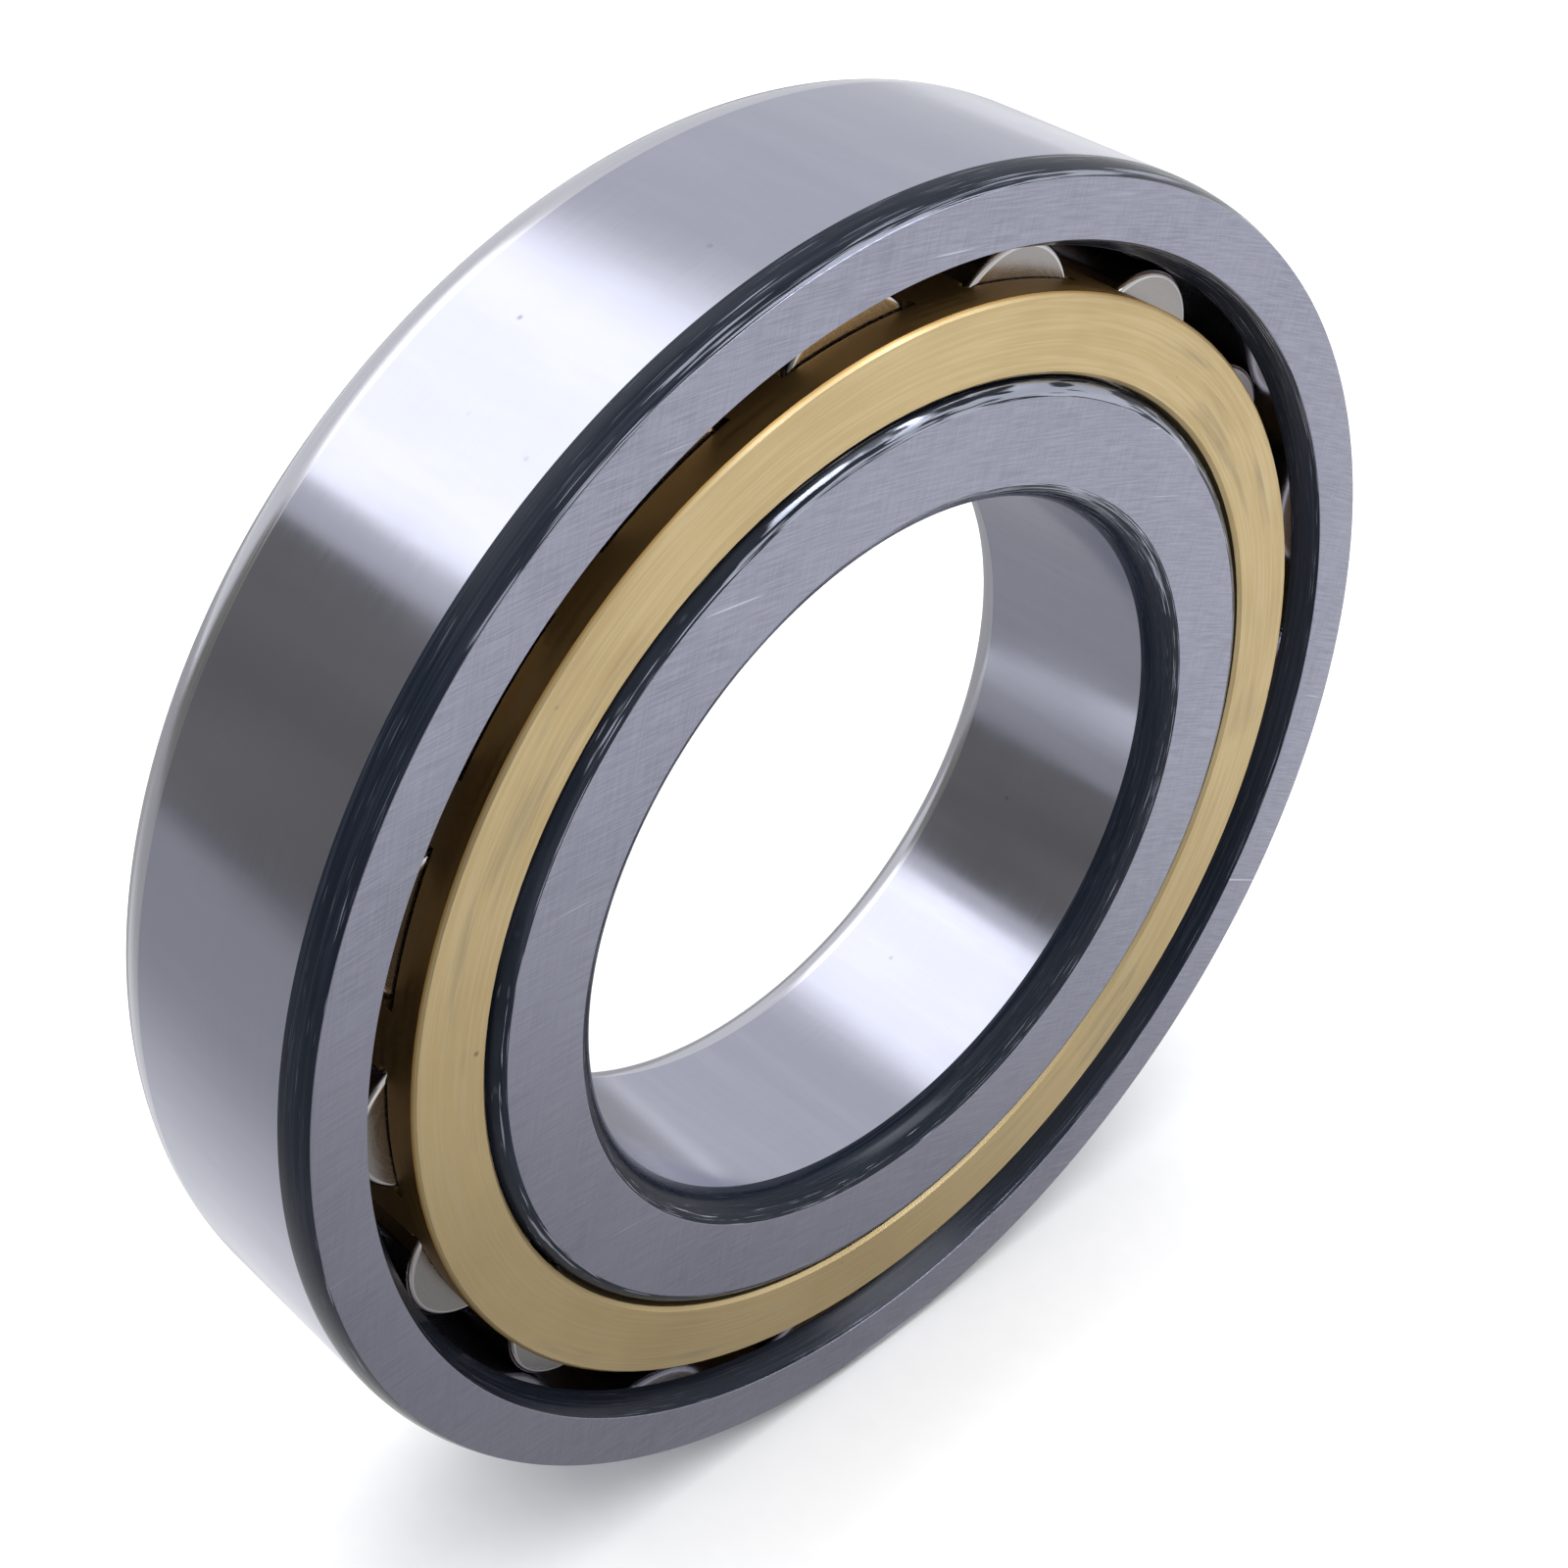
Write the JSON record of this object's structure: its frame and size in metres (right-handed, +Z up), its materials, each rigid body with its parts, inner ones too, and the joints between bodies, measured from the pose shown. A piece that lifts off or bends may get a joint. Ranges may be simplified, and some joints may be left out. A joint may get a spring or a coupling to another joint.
{
  "type": "cylindrical roller bearing",
  "caption": "Cylindrical roller bearing: flanged inner ring, plain outer ring that lets the shaft float along its axis, and rollers spaced by a riveted machined cage.",
  "frame": {"origin": "centre of the bearing: on its axis, midway between the two side faces", "axes": "+X along the bearing axis, towards the side where the cage body's plain ring shows; +Z up, with the bearing standing on edge"},
  "size_m": [0.022, 0.11, 0.11],
  "materials": {
    "ring_steel": "ground bearing steel, near-mirror on the outside diameter and in the bore, fine cross-ground side faces, black unground edge roundings",
    "roller_steel": "ground and polished bearing steel",
    "cage_brass": "turned brass with fine concentric tool marks"
  },
  "bodies": {
    "outer_ring": {"outer_ring": "ring_steel"},
    "inner_ring": {"inner_ring": "ring_steel"},
    "cage": {"cage_body": "cage_brass", "cage_cover": "cage_brass"},
    "roller_01": {"roller_01": "roller_steel"},
    "roller_02": {"roller_02": "roller_steel"},
    "roller_03": {"roller_03": "roller_steel"},
    "roller_04": {"roller_04": "roller_steel"},
    "roller_05": {"roller_05": "roller_steel"},
    "roller_06": {"roller_06": "roller_steel"},
    "roller_07": {"roller_07": "roller_steel"},
    "roller_08": {"roller_08": "roller_steel"},
    "roller_09": {"roller_09": "roller_steel"},
    "roller_10": {"roller_10": "roller_steel"},
    "roller_11": {"roller_11": "roller_steel"},
    "roller_12": {"roller_12": "roller_steel"},
    "roller_13": {"roller_13": "roller_steel"},
    "roller_14": {"roller_14": "roller_steel"},
    "roller_15": {"roller_15": "roller_steel"},
    "roller_16": {"roller_16": "roller_steel"},
    "roller_17": {"roller_17": "roller_steel"}
  },
  "joints": [
    {"name": "inner_ring_spin", "type": "hinge", "parent": "outer_ring", "child": "inner_ring", "pos_m": [0, 0, 0], "axis": [1, 0, 0], "continuous": true},
    {"name": "cage_spin", "type": "hinge", "parent": "outer_ring", "child": "cage", "pos_m": [0, 0, 0], "axis": [1, 0, 0], "continuous": true},
    {"name": "roller_01_spin", "type": "hinge", "parent": "cage", "child": "roller_01", "pos_m": [0, 0.04211, 0.00739], "axis": [1, 0, 0], "continuous": true},
    {"name": "roller_02_spin", "type": "hinge", "parent": "cage", "child": "roller_02", "pos_m": [0, 0.03659, 0.0221], "axis": [1, 0, 0], "continuous": true},
    {"name": "roller_03_spin", "type": "hinge", "parent": "cage", "child": "roller_03", "pos_m": [0, 0.02614, 0.03383], "axis": [1, 0, 0], "continuous": true},
    {"name": "roller_04_spin", "type": "hinge", "parent": "cage", "child": "roller_04", "pos_m": [0, 0.01215, 0.04099], "axis": [1, 0, 0], "continuous": true},
    {"name": "roller_05_spin", "type": "hinge", "parent": "cage", "child": "roller_05", "pos_m": [0, -0.00347, 0.04261], "axis": [1, 0, 0], "continuous": true},
    {"name": "roller_06_spin", "type": "hinge", "parent": "cage", "child": "roller_06", "pos_m": [0, -0.01863, 0.03848], "axis": [1, 0, 0], "continuous": true},
    {"name": "roller_07_spin", "type": "hinge", "parent": "cage", "child": "roller_07", "pos_m": [0, -0.03127, 0.02915], "axis": [1, 0, 0], "continuous": true},
    {"name": "roller_08_spin", "type": "hinge", "parent": "cage", "child": "roller_08", "pos_m": [0, -0.03969, 0.01588], "axis": [1, 0, 0], "continuous": true},
    {"name": "roller_09_spin", "type": "hinge", "parent": "cage", "child": "roller_09", "pos_m": [0, -0.04275, 0.00047], "axis": [1, 0, 0], "continuous": true},
    {"name": "roller_10_spin", "type": "hinge", "parent": "cage", "child": "roller_10", "pos_m": [0, -0.04003, -0.015], "axis": [1, 0, 0], "continuous": true},
    {"name": "roller_11_spin", "type": "hinge", "parent": "cage", "child": "roller_11", "pos_m": [0, -0.03191, -0.02845], "axis": [1, 0, 0], "continuous": true},
    {"name": "roller_12_spin", "type": "hinge", "parent": "cage", "child": "roller_12", "pos_m": [0, -0.01948, -0.03806], "axis": [1, 0, 0], "continuous": true},
    {"name": "roller_13_spin", "type": "hinge", "parent": "cage", "child": "roller_13", "pos_m": [0, -0.00441, -0.04252], "axis": [1, 0, 0], "continuous": true},
    {"name": "roller_14_spin", "type": "hinge", "parent": "cage", "child": "roller_14", "pos_m": [0, 0.01124, -0.04124], "axis": [1, 0, 0], "continuous": true},
    {"name": "roller_15_spin", "type": "hinge", "parent": "cage", "child": "roller_15", "pos_m": [0, 0.02538, -0.0344], "axis": [1, 0, 0], "continuous": true},
    {"name": "roller_16_spin", "type": "hinge", "parent": "cage", "child": "roller_16", "pos_m": [0, 0.0361, -0.0229], "axis": [1, 0, 0], "continuous": true},
    {"name": "roller_17_spin", "type": "hinge", "parent": "cage", "child": "roller_17", "pos_m": [0, 0.04193, -0.00832], "axis": [1, 0, 0], "continuous": true}
  ],
  "couplings": [
    {"joint": "cage_spin", "follows": "inner_ring_spin", "ratio": 0.42982},
    {"joint": "roller_01_spin", "follows": "inner_ring_spin", "ratio": -3.4923},
    {"joint": "roller_02_spin", "follows": "inner_ring_spin", "ratio": -3.4923},
    {"joint": "roller_03_spin", "follows": "inner_ring_spin", "ratio": -3.4923},
    {"joint": "roller_04_spin", "follows": "inner_ring_spin", "ratio": -3.4923},
    {"joint": "roller_05_spin", "follows": "inner_ring_spin", "ratio": -3.4923},
    {"joint": "roller_06_spin", "follows": "inner_ring_spin", "ratio": -3.4923},
    {"joint": "roller_07_spin", "follows": "inner_ring_spin", "ratio": -3.4923},
    {"joint": "roller_08_spin", "follows": "inner_ring_spin", "ratio": -3.4923},
    {"joint": "roller_09_spin", "follows": "inner_ring_spin", "ratio": -3.4923},
    {"joint": "roller_10_spin", "follows": "inner_ring_spin", "ratio": -3.4923},
    {"joint": "roller_11_spin", "follows": "inner_ring_spin", "ratio": -3.4923},
    {"joint": "roller_12_spin", "follows": "inner_ring_spin", "ratio": -3.4923},
    {"joint": "roller_13_spin", "follows": "inner_ring_spin", "ratio": -3.4923},
    {"joint": "roller_14_spin", "follows": "inner_ring_spin", "ratio": -3.4923},
    {"joint": "roller_15_spin", "follows": "inner_ring_spin", "ratio": -3.4923},
    {"joint": "roller_16_spin", "follows": "inner_ring_spin", "ratio": -3.4923},
    {"joint": "roller_17_spin", "follows": "inner_ring_spin", "ratio": -3.4923}
  ]
}
